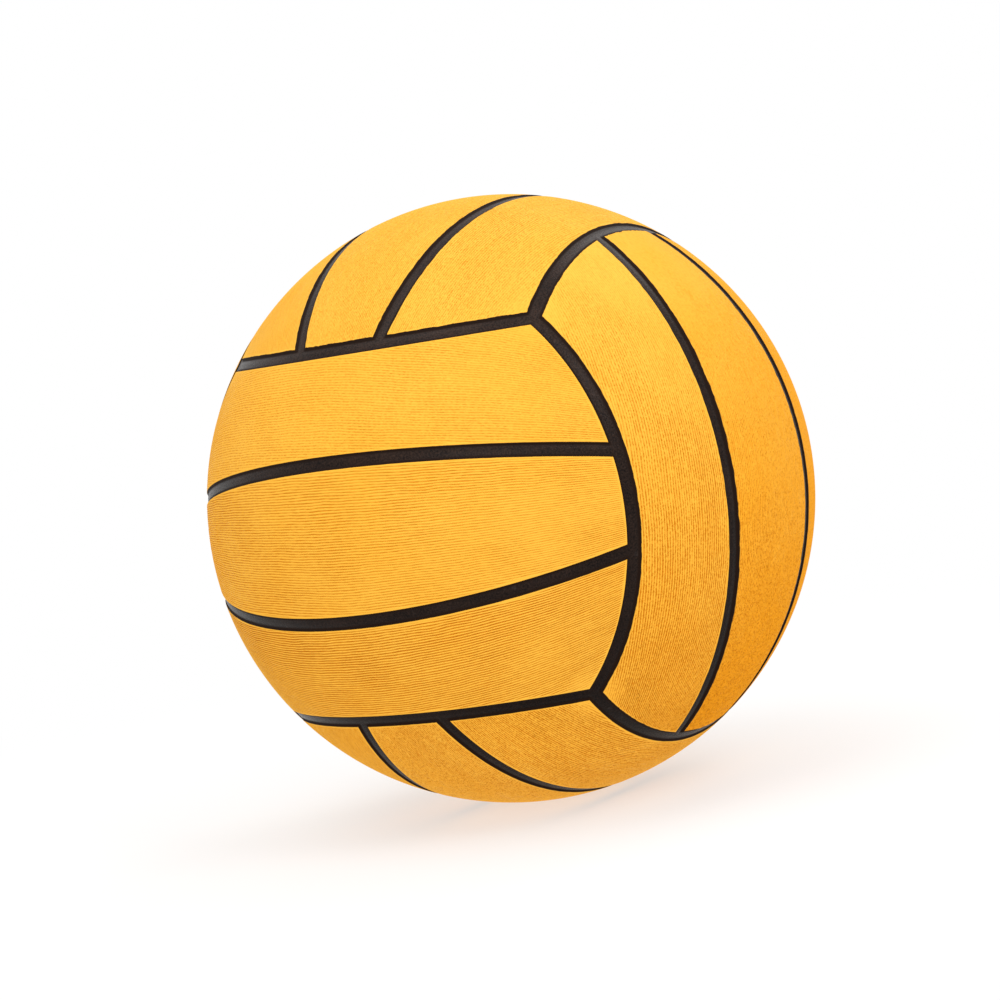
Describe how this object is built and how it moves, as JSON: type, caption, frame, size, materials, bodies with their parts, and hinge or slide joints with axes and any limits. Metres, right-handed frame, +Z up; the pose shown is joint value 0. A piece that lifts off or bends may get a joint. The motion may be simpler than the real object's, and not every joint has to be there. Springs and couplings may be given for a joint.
{
  "type": "water polo ball",
  "caption": "Inflatable rubber water polo ball with ribbed yellow grip panels, recessed black seam strips, a thread-wound carcass, a bladder and a needle valve.",
  "frame": {"origin": "centre of the ball, midway between the panels on every side", "axes": "+Z up through the top face, whose panels run along Y; -Y out through the front face, whose panels run along X; +X out through the right face, whose panels run along Z; +Y out along the valve, in the middle of the back face"},
  "size_m": [0.21, 0.2098, 0.21],
  "materials": {
    "cover": "matte",
    "seam": "satin",
    "carcass": "matte",
    "thread": "matte",
    "bladder": "satin",
    "valve_boot": "satin",
    "valve_core": "matte"
  },
  "bodies": {
    "root": {"front_upper_panel": "cover", "front_middle_panel": "cover", "front_lower_panel": "cover", "right_front_panel": "cover", "right_middle_panel": "cover", "right_back_panel": "cover", "top_right_panel": "cover", "top_middle_panel": "cover", "top_left_panel": "cover", "back_upper_panel": "cover", "back_middle_panel": "cover", "back_lower_panel": "cover", "left_front_panel": "cover", "left_middle_panel": "cover", "left_back_panel": "cover", "bottom_right_panel": "cover", "bottom_middle_panel": "cover", "bottom_left_panel": "cover", "front_upper_divider": "seam", "front_lower_divider": "seam", "right_front_divider": "seam", "right_back_divider": "seam", "top_right_divider": "seam", "top_left_divider": "seam", "back_upper_divider": "seam", "back_lower_divider": "seam", "left_front_divider": "seam", "left_back_divider": "seam", "bottom_right_divider": "seam", "bottom_left_divider": "seam", "front_right_edge": "seam", "front_left_edge": "seam", "right_top_edge": "seam", "right_bottom_edge": "seam", "top_front_edge": "seam", "top_back_edge": "seam", "back_left_edge": "seam", "back_right_edge": "seam", "left_bottom_edge": "seam", "left_top_edge": "seam", "bottom_back_edge": "seam", "bottom_front_edge": "seam", "carcass": "carcass", "winding": "thread", "bladder": "bladder", "valve_boot": "valve_boot", "valve_core": "valve_core"}
  },
  "joints": []
}
